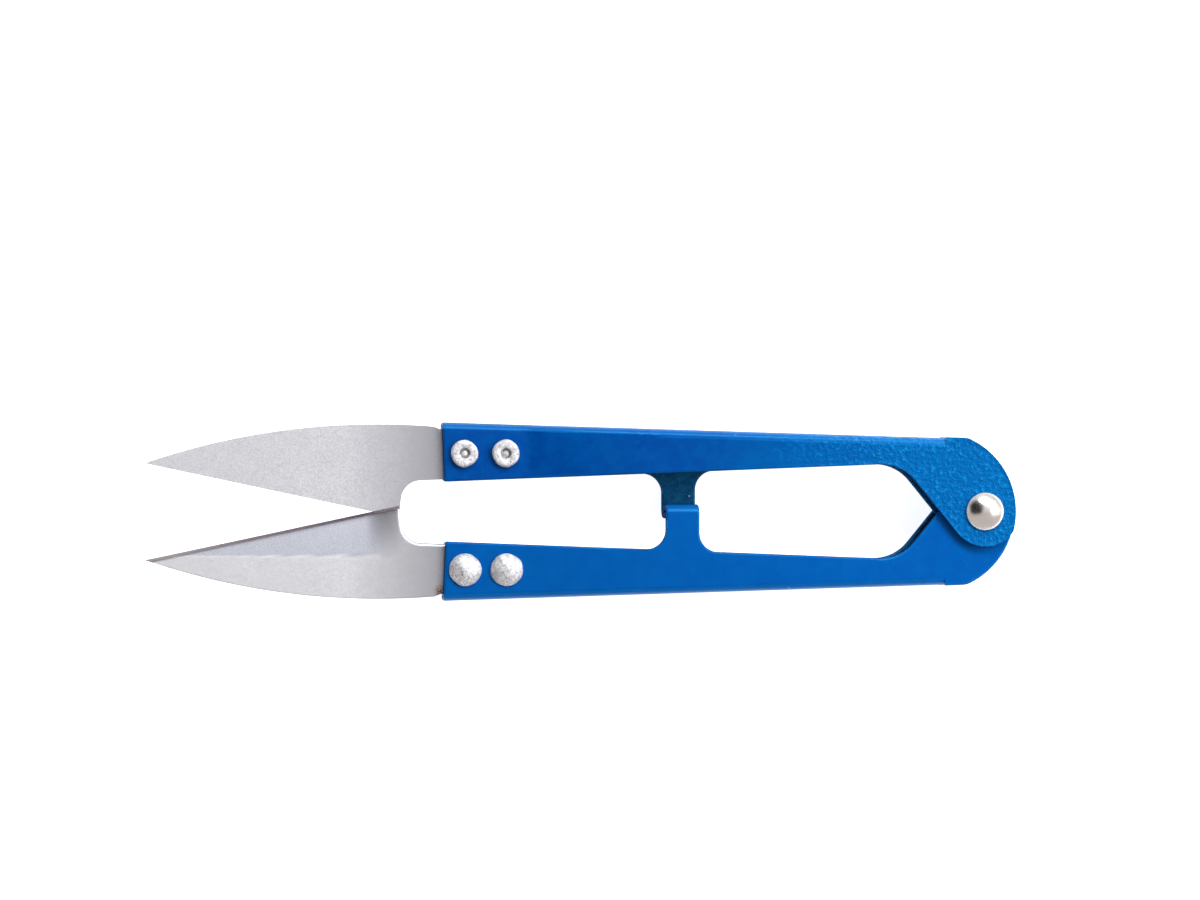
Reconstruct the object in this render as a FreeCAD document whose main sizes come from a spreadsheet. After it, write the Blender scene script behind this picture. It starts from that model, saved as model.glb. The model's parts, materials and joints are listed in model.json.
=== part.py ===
import FreeCAD, Part
import math
import os

import Sketcher

# Thread snips: two identical folded sheet handles, one turned over, each with a
# riveted blade, on one pivot rivet with a torsion spring between their ears.
#
# A half is drawn as the lower one: the pivot axis is the origin, the blades point to
# -X, the outer side of the half is -Y, and the plane where the blades slide is z = 0.
# The upper half is the same drawing turned 180 degrees about X.

# name, millimetres or degrees, what it is
SIZES = [
    ("tip_reach", 96.37, "pivot to the blade tips, along X"),
    ("tip_gap", 5.52, "tip to the middle line, snips open"),
    ("heel_reach", 67.2, "pivot to the heel of the cutting edge"),
    ("heel_cross", 0.65, "heel past the middle line, so the blades always cross"),
    ("spine_radius", 81.7, "arc of the blade's back"),
    ("shoulder_reach", 63.2, "where the back of the blade turns into the fold"),
    ("shoulder_width", 9.72, "middle line to the back of the blade there"),
    ("blade_thickness", 1.1, "blade steel"),
    ("blade_gap", 0.04, "between the two blades"),
    ("edge_thickness", 0.3, "steel left at the heel of the ground face"),
    ("ridge_width", 5.1, "middle line to the ridge of the ground face"),
    ("ridge_reach", 70.5, "where the grinding starts to run out"),
    ("runout_reach", 66.6, "where the grinding has run out"),
    ("notch_radius", 2.3, "round of the notch behind the heel"),
    ("notch_reach", 66.75, "corner of the notch"),
    ("tang_show", 0.28, "tang set back inside the handle's inner edge"),
    ("tang_reach", 52.9, "rear end of the tang"),
    ("tang_gap", 0.03, "tang to the inside of the fold"),
    ("sheet", 0.8, "handle sheet"),
    ("ear_gap", 0.08, "between ears that slide on each other"),
    ("front_reach", 62.05, "pivot to the front edge of the handle"),
    ("front_lean", 0.25, "how far the front edge leans out at the fold"),
    ("outer_width", 8.29, "middle line to the outer face, at the pivot"),
    ("outer_flare", 1.77, "angle of the outer face"),
    ("inner_width", 5.86, "middle line to the inner edge, at the pivot"),
    ("inner_taper", 2.28, "angle of the inner edge"),
    ("front_round", 0.4, "inner front corner"),
    ("fold_inside", 0.15, "inside of the fold"),
    ("web_end", 4.46, "pivot to the rear end of the folded side"),
    ("ear_proud", 0.1, "flat ears outside the folded side's face"),
    ("pinch_reach", 52.6, "rear end of the flat pinched front"),
    ("ramp_reach", 46.5, "rear end of the steep part of the ramp"),
    ("full_reach", 39.0, "where the channel comes to its full depth"),
    ("join_reach", 14.2, "where the flat ears take over from the arm"),
    ("ramp_share", 0.62, "share of the rise that the steep part makes"),
    ("ramp_start_radius", 5.0, "bend at the start of the ramp"),
    ("ramp_end_radius", 30.0, "bend at the end of the steep part"),
    ("full_radius", 25.0, "bend at full depth"),
    ("tab_reach", 34.8, "pivot to the middle of the stop tab"),
    ("tab_width", 3.9, "stop tab"),
    ("tab_round", 2.2, "round at the tab's root"),
    ("hook_gap", 0.04, "between the two hooks, snips open"),
    ("hook_length", 3.2, "hook, from the outside of its plate"),
    ("hook_radius", 1.15, "outside bend of the hook"),
    ("ear_radius", 4.05, "nose of an ear, round the pivot"),
    ("ear_slope", 50.9, "straight edge of an ear"),
    ("ear_round", 5.0, "ear into the arm"),
    ("rear_reach", 3.63, "pivot to the very rear"),
    ("back_radius", 9.17, "arc where both ears end"),
    ("back_round", 2.0, "rear end into the outer face"),
    ("rivet_front_reach", 59.8, "pivot to the front blade rivet"),
    ("rivet_rear_reach", 55.05, "pivot to the rear blade rivet"),
    ("rivet_offset", 6.65, "middle line to the blade rivets"),
    ("rivet_shank", 1.1, "blade rivet, shank radius"),
    ("rivet_head", 1.9, "blade rivet, head radius"),
    ("rivet_dome", 1.05, "blade rivet, head height"),
    ("rivet_tail", 1.6, "blade rivet, tail radius"),
    ("rivet_tail_height", 0.7, "blade rivet, tail height"),
    ("rivet_dimple", 0.6, "blade rivet, radius of the hollow in its tail"),
    ("rivet_fit", 0.02, "blade rivet, play round the shank"),
    ("pivot_shank", 1.3, "pivot rivet, shank radius"),
    ("pivot_head", 2.22, "pivot rivet, head radius"),
    ("pivot_dome", 1.2, "pivot rivet, head height"),
    ("pivot_tail", 1.9, "pivot rivet, tail radius"),
    ("pivot_tail_height", 0.8, "pivot rivet, tail height"),
    ("pivot_dimple", 0.75, "pivot rivet, radius of the hollow in its tail"),
    ("pivot_fit", 0.05, "pivot rivet, play round the shank"),
    ("head_gap", 0.03, "pivot rivet, play under head and tail"),
    ("wire", 0.8, "spring wire"),
    ("coil_radius", 2.25, "spring coil, to the middle of the wire"),
    ("coil_turns", 2.0, "whole turns of the spring"),
    ("coil_gap", 0.1, "between the coil's turns"),
    ("coil_play", 0.08, "coil to the ears, above and below"),
    ("leg_gap", 0.05, "spring leg to the side it presses on"),
    ("leg_reach", 13.0, "pivot to the end of a spring leg"),
]

# How far round parts reach past what they cut, and how finely a point is found.
MARGIN = 3.0
NEAR = 1e-3

# The channel is as deep as the coil between its ears asks for. The coil's ends turn a
# little past its whole turns, to where the legs leave it.
PITCH = "(sizes.wire + sizes.coil_gap)"
COIL_ROOM = f"({PITCH} * (sizes.coil_turns + 0.4) + sizes.wire + 2 * sizes.coil_play)"
DEPTH = f"({COIL_ROOM} + 3 * sizes.sheet + sizes.ear_gap)"

# Deep enough to cut through a whole handle, whichever way it is cut.
THROUGH = f"4 * (sizes.outer_width + {DEPTH})"

# Places that several drawings share, as expressions of the sizes.
FOLD_RADIUS = "(sizes.fold_inside + sizes.sheet)"
OUTER = "(sizes.outer_width - ({x}) * tan(sizes.outer_flare))"
INNER = "(sizes.inner_width + ({x}) * tan(sizes.inner_taper))"
NESTING = "(sizes.sheet + sizes.ear_gap)"
NEAR_REAR = f"({DEPTH} - {NESTING}) / 2"
FAR_REAR = f"-({DEPTH} + {NESTING}) / 2"
BLADE_LOW = "sizes.blade_gap / 2"
BLADE_HIGH = "(sizes.blade_gap / 2 + sizes.blade_thickness)"
NEAR_FRONT = f"({BLADE_HIGH} + sizes.sheet)"
# The front ends pass over each other when squeezed, as far apart as the blades are.
FAR_FRONT = "(-sizes.blade_gap / 2 - sizes.sheet)"
PIVOT_X = "(sizes.tip_reach - sizes.rear_reach) / 2"
REST_HEIGHT = f"-({FAR_REAR}) + sizes.head_gap + sizes.pivot_tail_height"

doc = FreeCAD.newDocument("thread_snips")


def make_sheet():
    """The driving dimensions, one row each: name, value, meaning."""
    table = doc.addObject("Spreadsheet::Sheet", "sizes")
    for row, (name, value, meaning) in enumerate(SIZES, start=1):
        table.set(f"A{row}", name)
        table.set(f"B{row}", str(value))
        table.set(f"C{row}", meaning)
        table.setAlias(f"B{row}", name)
    doc.recompute()
    return table


sheet = make_sheet()


def value_of(expression):
    """What an expression of the sizes comes to, as a plain number."""
    result = sheet.evalExpression(expression)
    return float(getattr(result, "Value", result))


def outer_at(x):
    """Distance of the handle's outer face from the middle line at x."""
    return OUTER.format(x=x)


def inner_at(x):
    """Distance of the handle's inner edge from the middle line at x."""
    return INNER.format(x=x)


# ---------------------------------------------------------------- drawing helpers


def new_sketch(body, name, role, lift="0", turn="0"):
    """An empty sketch on a plane of the body, lifted along and turned about that plane."""
    plane = next(f for f in body.Origin.OriginFeatures if f.Role == role)
    sketch = body.newObject("Sketcher::SketchObject", name)
    sketch.AttachmentSupport = [(plane, "")]
    sketch.MapMode = "FlatFace"
    axis = FreeCAD.Vector(0, 1, 0)
    offset = FreeCAD.Vector(0, 0, value_of(lift))
    sketch.AttachmentOffset = FreeCAD.Placement(offset, FreeCAD.Rotation(axis, value_of(turn)))
    sketch.setExpression(".AttachmentOffset.Base.z", lift)
    sketch.setExpression(".AttachmentOffset.Rotation.Angle", turn)
    return sketch


def pin_point(sketch, geometry, end, x, y):
    """Fix one point of a sketch at two expressions."""
    for kind, place in (("DistanceX", x), ("DistanceY", y)):
        number = sketch.addConstraint(Sketcher.Constraint(kind, geometry, end, value_of(place)))
        sketch.setExpression(f"Constraints[{number}]", place)


def set_radius(sketch, geometry, radius):
    """Give an arc or circle its radius."""
    number = sketch.addConstraint(Sketcher.Constraint("Radius", geometry, value_of(radius)))
    sketch.setExpression(f"Constraints[{number}]", radius)


def rounding(before, corner, after, radius):
    """Where a round of this radius leaves the two edges of a corner, and its middle."""
    back = (before - corner).normalize()
    ahead = (after - corner).normalize()
    half = back.getAngle(ahead) / 2
    start = corner + back * (radius / math.tan(half))
    end = corner + ahead * (radius / math.tan(half))
    middle = (back + ahead).normalize()
    centre = corner + middle * (radius / math.sin(half))
    return start, centre - middle * radius, end


def bowed(start, end, radius):
    """The middle point of an arc that bulges to the right of the way from start to end."""
    chord = end - start
    right = FreeCAD.Vector(chord.y, -chord.x, 0).normalize()
    rise = radius - math.sqrt(radius**2 - (chord.Length / 2) ** 2)
    return start + chord * 0.5 + right * rise


def draw_outline(sketch, corners):
    """A closed outline. A corner is (x, y), (x, y, round) or (x, y, "", bow): round is
    the radius at the corner, bow the radius of an arc from it to the next corner."""
    places = [FreeCAD.Vector(value_of(c[0]), value_of(c[1]), 0) for c in corners]
    rounds = [c[2] if len(c) > 2 else "" for c in corners]
    bows = [c[3] if len(c) > 3 else "" for c in corners]
    count = len(corners)
    cuts = []
    for i, place in enumerate(places):
        if rounds[i]:
            after = places[(i + 1) % count]
            cuts.append(rounding(places[i - 1], place, after, value_of(rounds[i])))
        else:
            cuts.append((place, place, place))
    edges = []
    for i in range(count):
        start = cuts[i][2]
        end = cuts[(i + 1) % count][0]
        if bows[i]:
            shape = Part.Arc(start, bowed(start, end, value_of(bows[i])), end)
            edges.append(sketch.addGeometry(shape, False))
            set_radius(sketch, edges[i], bows[i])
        else:
            edges.append(sketch.addGeometry(Part.LineSegment(start, end), False))
    for i, corner in enumerate(corners):
        before = edges[i - 1]
        after = edges[i]
        end = end_towards(sketch, before, cuts[i][0])
        start = end_towards(sketch, after, cuts[i][2])
        if rounds[i]:
            arc = sketch.addGeometry(Part.Arc(*cuts[i]), False)
            first = end_towards(sketch, arc, cuts[i][0])
            sketch.addConstraint(Sketcher.Constraint("Tangent", before, end, arc, first))
            sketch.addConstraint(Sketcher.Constraint("Tangent", after, start, arc, 3 - first))
            set_radius(sketch, arc, rounds[i])
            point = sketch.addGeometry(Part.Point(places[i]), True)
            sketch.addConstraint(Sketcher.Constraint("PointOnObject", point, 1, before))
            sketch.addConstraint(Sketcher.Constraint("PointOnObject", point, 1, after))
            pin_point(sketch, point, 1, corner[0], corner[1])
        else:
            sketch.addConstraint(Sketcher.Constraint("Coincident", before, end, after, start))
            pin_point(sketch, after, start, corner[0], corner[1])


def end_towards(sketch, geometry, place):
    """Which end of a line or arc lies at a place: 1 for its start, 2 for its end."""
    start = sketch.getPoint(geometry, 1)
    end = sketch.getPoint(geometry, 2)
    return 1 if start.distanceToPoint(place) < end.distanceToPoint(place) else 2


def draw_circle(sketch, x, y, radius):
    """A circle at two expressions."""
    centre = FreeCAD.Vector(value_of(x), value_of(y), 0)
    circle = Part.Circle(centre, FreeCAD.Vector(0, 0, 1), value_of(radius))
    number = sketch.addGeometry(circle, False)
    pin_point(sketch, number, 3, x, y)
    set_radius(sketch, number, radius)


def add_pad(body, sketch, length, reverse=False):
    """Material from a sketch, along its plane's normal or against it."""
    pad = body.newObject("PartDesign::Pad", f"{sketch.Name}_pad")
    pad.Profile = sketch
    pad.Reversed = reverse
    pad.setExpression("Length", length)
    doc.recompute()
    return pad


def add_pocket(body, sketch, length, reverse=False, both=False):
    """A cut from a sketch, against its plane's normal; it must take material away."""
    before = body.Shape.Volume
    pocket = body.newObject("PartDesign::Pocket", f"{sketch.Name}_cut")
    pocket.Profile = sketch
    pocket.Reversed = reverse
    pocket.Midplane = both
    pocket.setExpression("Length", length)
    doc.recompute()
    if body.Shape.Volume > before - NEAR:
        raise RuntimeError(f"{pocket.Name} cuts nothing")
    return pocket


def add_fillet(body, name, radius, wanted):
    """Round every edge of the body that the test wants."""
    edges = []
    for number, edge in enumerate(body.Tip.Shape.Edges, start=1):
        if wanted(edge):
            edges.append(f"Edge{number}")
    if not edges:
        raise RuntimeError(f"{name} finds no edge")
    base = body.Tip
    fillet = body.newObject("PartDesign::Fillet", name)
    fillet.Base = (base, edges)
    fillet.setExpression("Radius", radius)
    doc.recompute()
    if fillet.Shape.isNull() or not fillet.Shape.isValid():
        raise RuntimeError(f"{name} fails")
    return fillet


def new_body(label):
    body = doc.addObject("PartDesign::Body", label)
    body.Label = label
    return body


def place(body, upper, x="0", offset="0"):
    """Stand a piece of the lower half, or of the upper half turned over, in the frame."""
    turn = 180 if upper else 0
    side = 1 if upper else -1
    body.Placement = FreeCAD.Placement(
        FreeCAD.Vector(value_of(f"{PIVOT_X} - {x}"), side * value_of(offset), value_of(REST_HEIGHT)),
        FreeCAD.Rotation(FreeCAD.Vector(1, 0, 0), turn),
    )
    body.setExpression(".Placement.Base.x", f"{PIVOT_X} - {x}")
    body.setExpression(".Placement.Base.y", f"{side} * ({offset})")
    body.setExpression(".Placement.Base.z", REST_HEIGHT)


# ---------------------------------------------------------------- handle


def arm_corners(tab):
    """Outline of one plate of the arm, from the front edge to where the ear takes over.
    Along the fold it goes on to the end of the folded side."""
    front = "-sizes.front_reach"
    front_outer = "(-sizes.front_reach - sizes.front_lean)"
    join = "-sizes.join_reach"
    end = "-sizes.web_end"
    strip = f"2 * {FOLD_RADIUS}"
    corners = [
        (front_outer, f"-{outer_at(front_outer)}"),
        (end, f"-{outer_at(end)}"),
        (end, f"-({outer_at(end)} - {strip})"),
        (join, f"-({outer_at(join)} - {strip})"),
        (join, f"-{inner_at(join)}"),
    ]
    if tab:
        rear = "(-sizes.tab_reach + sizes.tab_width / 2)"
        fore = "(-sizes.tab_reach - sizes.tab_width / 2)"
        tip = "(sizes.hook_gap / 2 + sizes.sheet)"
        corners += [
            (rear, f"-{inner_at(rear)}", "sizes.tab_round"),
            (rear, tip),
            (fore, tip),
            (fore, f"-{inner_at(fore)}", "sizes.tab_round"),
        ]
    corners.append((front, f"-{inner_at(front)}", "sizes.front_round"))
    return corners


def ear_corners():
    """Outline of a flat ear. Its nose is a circle round the pivot, and its straight edge
    touches that circle and curves into the arm's inner edge."""
    join = "-sizes.join_reach"
    end = "-sizes.web_end"
    back = "sizes.back_radius"
    strip = f"2 * {FOLD_RADIUS}"
    touch = (
        "-sizes.ear_radius * sin(sizes.ear_slope)",
        "sizes.ear_radius * cos(sizes.ear_slope)",
    )
    top = "sizes.inner_width + sizes.ear_radius / cos(sizes.ear_slope)"
    bend = f"(-({top}) / (tan(sizes.ear_slope) + tan(sizes.inner_taper)))"
    return [
        (join, f"-({outer_at(join)} - {strip})"),
        (end, f"-({outer_at(end)} - {strip})"),
        (end, f"-({outer_at(end)} + sizes.ear_proud)"),
        (back, f"-({outer_at(back)} + sizes.ear_proud)"),
        (back, "0"),
        ("0", "0"),
        touch,
        (bend, f"-{inner_at(bend)}", "sizes.ear_round"),
        (join, f"-{inner_at(join)}"),
    ]


def surface_corners(front, rear):
    """A plate's face from the side, front to rear: pinched flat, ramp, full depth."""
    middle = f"(({front}) + (({rear}) - ({front})) * sizes.ramp_share)"
    return [
        (f"-sizes.front_reach - {MARGIN}", front),
        ("-sizes.pinch_reach", front, "sizes.ramp_start_radius"),
        ("-sizes.ramp_reach", middle, "sizes.ramp_end_radius"),
        ("-sizes.full_reach", rear, "sizes.full_radius"),
        (f"sizes.back_radius + {MARGIN}", rear),
    ]


def make_handle(label, upper):
    """A folded sheet channel: the plate with the tab lies on the blade's outer face, the
    plain plate on its sliding face, and the fold joins them. Each ends in a flat ear."""
    body = new_body(label)
    split = f"({BLADE_LOW} + sizes.blade_thickness / 2)"

    # The arm's two plates, as blocks that meet in the middle of the blade.
    tab_plate = new_sketch(body, f"{label}_tab_plate", "XY_Plane", split)
    draw_outline(tab_plate, arm_corners(True))
    add_pad(body, tab_plate, f"{NEAR_REAR} - {split} + {MARGIN}")
    plain_plate = new_sketch(body, f"{label}_plain_plate", "XY_Plane", split)
    draw_outline(plain_plate, arm_corners(False))
    add_pad(body, plain_plate, f"{split} - ({FAR_REAR}) + {MARGIN}", reverse=True)

    # The outer faces of the plates, from the side.
    room = f"({DEPTH} + {MARGIN})"
    for side, front, rear, sign in (
        ("near", NEAR_FRONT, NEAR_REAR, ""),
        ("far", FAR_FRONT, FAR_REAR, "-"),
    ):
        face = new_sketch(body, f"{label}_{side}_face", "XZ_Plane")
        corners = surface_corners(front, rear)
        corners.append((f"sizes.back_radius + {MARGIN}", f"{sign}{room}"))
        corners.append((f"-sizes.front_reach - {MARGIN}", f"{sign}{room}"))
        draw_outline(face, corners)
        add_pocket(body, face, THROUGH, both=True)

    # The inside, cut from the open side up to the fold.
    inside = new_sketch(
        body,
        f"{label}_inside",
        "XZ_Plane",
        "sizes.outer_width - sizes.sheet / cos(sizes.outer_flare)",
        "sizes.outer_flare",
    )
    near_inside = surface_corners(f"({NEAR_FRONT} - sizes.sheet)", f"({NEAR_REAR} - sizes.sheet)")
    far_inside = surface_corners(f"({FAR_FRONT} + sizes.sheet)", f"({FAR_REAR} + sizes.sheet)")
    draw_outline(inside, near_inside + far_inside[::-1])
    add_pocket(body, inside, THROUGH)

    fold = fold_tests()
    add_fillet(body, f"{label}_fold_outside", FOLD_RADIUS, fold[0])
    add_fillet(body, f"{label}_fold_inside", "sizes.fold_inside", fold[1])

    # A flat ear at the end of each plate.
    for name, level, reverse in (("near_ear", NEAR_REAR, True), ("far_ear", FAR_REAR, False)):
        ear = new_sketch(body, f"{label}_{name}", "XY_Plane", level)
        draw_outline(ear, ear_corners())
        add_pad(body, ear, "sizes.sheet", reverse)
        nose = new_sketch(body, f"{label}_{name}_nose", "XY_Plane", level)
        draw_circle(nose, "0", "0", "sizes.ear_radius")
        add_pad(body, nose, "sizes.sheet", reverse)

    # Both ears end on one arc.
    back = new_sketch(body, f"{label}_back", "XY_Plane")
    draw_back(back)
    add_pocket(body, back, THROUGH, both=True)

    # The tab's end is bent through the middle, to hook behind the other handle's.
    hook = new_sketch(body, f"{label}_hook", "XY_Plane", f"{NEAR_REAR} - sizes.sheet / 2")
    hook_rear = "-sizes.tab_reach + sizes.tab_width / 2"
    hook_fore = "-sizes.tab_reach - sizes.tab_width / 2"
    draw_outline(
        hook,
        [
            (hook_fore, "sizes.hook_gap / 2"),
            (hook_rear, "sizes.hook_gap / 2"),
            (hook_rear, "sizes.hook_gap / 2 + sizes.sheet"),
            (hook_fore, "sizes.hook_gap / 2 + sizes.sheet"),
        ],
    )
    add_pad(body, hook, "sizes.hook_length - sizes.sheet / 2", reverse=True)

    drill(body, label, "pivot", "0", "0", "sizes.pivot_shank + sizes.pivot_fit")
    for name in ("front", "rear"):
        drill(
            body,
            label,
            name,
            f"-sizes.rivet_{name}_reach",
            "-sizes.rivet_offset",
            "sizes.rivet_shank + sizes.rivet_fit",
        )

    round_handle(body, label)
    place(body, upper)
    return body


def draw_back(sketch):
    """All that lies behind the half circle where both ears end."""
    centre = "(sizes.rear_reach - sizes.back_radius)"
    far_x = f"sizes.back_radius + {MARGIN}"
    far_y = f"(sizes.back_radius + {MARGIN})"
    radius = value_of("sizes.back_radius")
    middle = FreeCAD.Vector(value_of(centre), 0, 0)
    circle = Part.Circle(middle, FreeCAD.Vector(0, 0, 1), radius)
    arc = sketch.addGeometry(Part.ArcOfCircle(circle, -math.pi / 2, math.pi / 2), False)
    pin_point(sketch, arc, 3, centre, "0")
    set_radius(sketch, arc, "sizes.back_radius")
    sketch.addConstraint(Sketcher.Constraint("Vertical", arc, 1, arc, 3))
    sketch.addConstraint(Sketcher.Constraint("Vertical", arc, 2, arc, 3))
    places = [
        (centre, far_y),
        (far_x, far_y),
        (far_x, f"-{far_y}"),
        (centre, f"-{far_y}"),
    ]
    points = [FreeCAD.Vector(value_of(x), value_of(y), 0) for x, y in places]
    top = sketch.getPoint(arc, 2)
    base = sketch.getPoint(arc, 1)
    lines = []
    for start, end in zip([top] + points, points + [base]):
        lines.append(sketch.addGeometry(Part.LineSegment(start, end), False))
    sketch.addConstraint(Sketcher.Constraint("Coincident", arc, 2, lines[0], 1))
    sketch.addConstraint(Sketcher.Constraint("Coincident", lines[-1], 2, arc, 1))
    for number, (x, y) in enumerate(places):
        before, after = lines[number], lines[number + 1]
        sketch.addConstraint(Sketcher.Constraint("Coincident", before, 2, after, 1))
        pin_point(sketch, after, 1, x, y)


def drill(body, label, name, x, y, radius):
    """A hole through everything, along Z."""
    hole = new_sketch(body, f"{label}_{name}_hole", "XY_Plane")
    draw_circle(hole, x, y, radius)
    add_pocket(body, hole, THROUGH, both=True)


def depth_from_outside(place):
    """How far inside the handle's outer face a point of the half lies."""
    flare = math.tan(math.radians(value_of("sizes.outer_flare")))
    return value_of("sizes.outer_width") - place.x * flare + place.y


def fold_tests():
    """Tests for the edges outside and inside the fold."""
    wall = value_of("sizes.sheet / cos(sizes.outer_flare)")

    def test_at(depth):
        def runs_along(edge):
            ends = [v.Point for v in edge.Vertexes]
            on_face = all(abs(depth_from_outside(p) - depth) < NEAR for p in ends)
            return on_face and abs(ends[0].x - ends[-1].x) > NEAR

        return runs_along

    return test_at(0), test_at(wall)


def round_handle(body, label):
    """The rear corners of the ears and the bend of the hook."""
    thickness = value_of("sizes.sheet")
    hook_in = value_of("sizes.hook_gap / 2")
    level = value_of(NEAR_REAR)
    corner_depth = -value_of("sizes.ear_proud")
    corner_x = -value_of("sizes.web_end")
    tab_x = -value_of("sizes.tab_reach")

    def rear_corner(edge):
        box = edge.BoundBox
        upright = box.XLength + box.YLength < NEAR and box.XMin > corner_x + NEAR
        return upright and abs(depth_from_outside(box.Center) - corner_depth) < NEAR

    def hook_edge(y, drop):
        def across_tab(edge):
            box = edge.BoundBox
            beside = abs(box.Center.x - tab_x) + abs(box.Center.y - y) < NEAR
            at_level = abs(box.Center.z - level + drop) < thickness / 4
            return beside and at_level and box.XLength > box.YLength + box.ZLength

        return across_tab

    add_fillet(body, f"{label}_back_corners", "sizes.back_round", rear_corner)
    outside = hook_edge(hook_in + thickness, 0)
    add_fillet(body, f"{label}_hook_outside", "sizes.hook_radius", outside)
    inside = hook_edge(hook_in, thickness)
    add_fillet(body, f"{label}_hook_inside", "sizes.hook_radius - sizes.sheet", inside)


# ---------------------------------------------------------------- blade


def make_blade(label, upper):
    """Stamped blade: straight cutting edge, arched back, a round notch behind the heel
    and a tang in the handle's fold. Its outer face is ground down to the edge."""
    body = new_body(label)
    outline = new_sketch(body, f"{label}_outline", "XY_Plane", BLADE_LOW)
    fold = f"({FOLD_RADIUS} + sizes.tang_gap)"
    tang = "-sizes.tang_reach"
    mouth = "-sizes.front_reach"
    notch = "-sizes.notch_reach"
    draw_outline(
        outline,
        [
            ("-sizes.tip_reach", "-sizes.tip_gap", "", "sizes.spine_radius"),
            ("-sizes.shoulder_reach", "-sizes.shoulder_width"),
            (mouth, f"-({outer_at(mouth)} - {fold})"),
            (tang, f"-({outer_at(tang)} - {fold})"),
            (tang, f"-({inner_at(tang)} + sizes.tang_show)"),
            (notch, f"-({inner_at(notch)} + sizes.tang_show)", "sizes.notch_radius"),
            ("-sizes.heel_reach", "sizes.heel_cross"),
        ],
    )
    add_pad(body, outline, "sizes.blade_thickness")
    for name in ("front", "rear"):
        drill(
            body,
            label,
            name,
            f"-sizes.rivet_{name}_reach",
            "-sizes.rivet_offset",
            "sizes.rivet_shank + sizes.rivet_fit",
        )
    grind_blade(body, label)
    place(body, upper)
    return body


def grind_blade(body, label):
    """The ground face: a wedge taken off between the ridge and the cutting edge, which
    runs out to nothing at the notch."""
    before = body.Shape.Volume
    drop = "(sizes.blade_thickness - sizes.edge_thickness) / (sizes.ridge_width + sizes.heel_cross)"
    reach = f"(sizes.heel_cross + {MARGIN})"
    full_depth = f"{drop} * (sizes.ridge_width + {reach})"
    # A loft's section can't be empty, so the last one still cuts a film of steel.
    film = "sizes.blade_thickness / 50"
    top = f"({BLADE_HIGH} + {film} / 2)"
    sections = []
    for name, x, start, depth in (
        ("tip", f"-(sizes.tip_reach + {MARGIN})", "-sizes.ridge_width", full_depth),
        ("full", "-sizes.ridge_reach", "-sizes.ridge_width", full_depth),
        ("out", "-sizes.runout_reach", "-sizes.heel_cross", film),
    ):
        section = new_sketch(body, f"{label}_{name}_section", "YZ_Plane", x)
        draw_outline(
            section,
            [(start, top), (reach, f"{BLADE_HIGH} - {depth}"), (reach, top)],
        )
        sections.append(section)
    ground = body.newObject("PartDesign::SubtractiveLoft", f"{label}_ground_face")
    ground.Profile = sections[0]
    ground.Sections = sections[1:]
    ground.Ruled = True
    doc.recompute()
    if body.Shape.Volume > before - NEAR:
        raise RuntimeError(f"{ground.Name} cuts nothing")


# ---------------------------------------------------------------- rivets


def make_rivet(label, kind, grip_high, grip_low):
    """A semi-tubular rivet on Z: domed head above the plates, rolled hollow tail below.
    kind names its sizes."""
    body = new_body(label)
    profile = new_sketch(body, f"{label}_profile", "XZ_Plane")
    head = f"sizes.{kind}_head"
    dome = f"sizes.{kind}_dome"
    rim = f"({dome} / 6)"
    crown = f"({dome} - {rim})"
    shank = f"sizes.{kind}_shank"
    tail = f"sizes.{kind}_tail"
    dimple = f"sizes.{kind}_dimple"
    tail_end = f"{grip_low} - sizes.{kind}_tail_height"
    tail_rim = f"(sizes.{kind}_tail_height / 2)"
    arc = f"({head} ^ 2 + {crown} ^ 2) / (2 * {crown})"
    draw_outline(
        profile,
        [
            ("0", f"{tail_end} + {tail_rim}"),
            (f"{dimple} / 2", f"{tail_end} + {tail_rim}"),
            (dimple, tail_end),
            (f"{tail} - {tail_rim} / 2", tail_end),
            (tail, f"{grip_low} - {tail_rim}"),
            (tail, grip_low),
            (shank, grip_low),
            (shank, grip_high),
            (head, grip_high),
            (head, f"{grip_high} + {rim}", "", arc),
            ("0", f"{grip_high} + {dome}"),
        ],
    )
    turned = body.newObject("PartDesign::Revolution", f"{label}_turned")
    turned.Profile = profile
    turned.ReferenceAxis = (profile, ["V_Axis"])
    turned.Angle = 360
    doc.recompute()
    return body


# ---------------------------------------------------------------- spring


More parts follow.
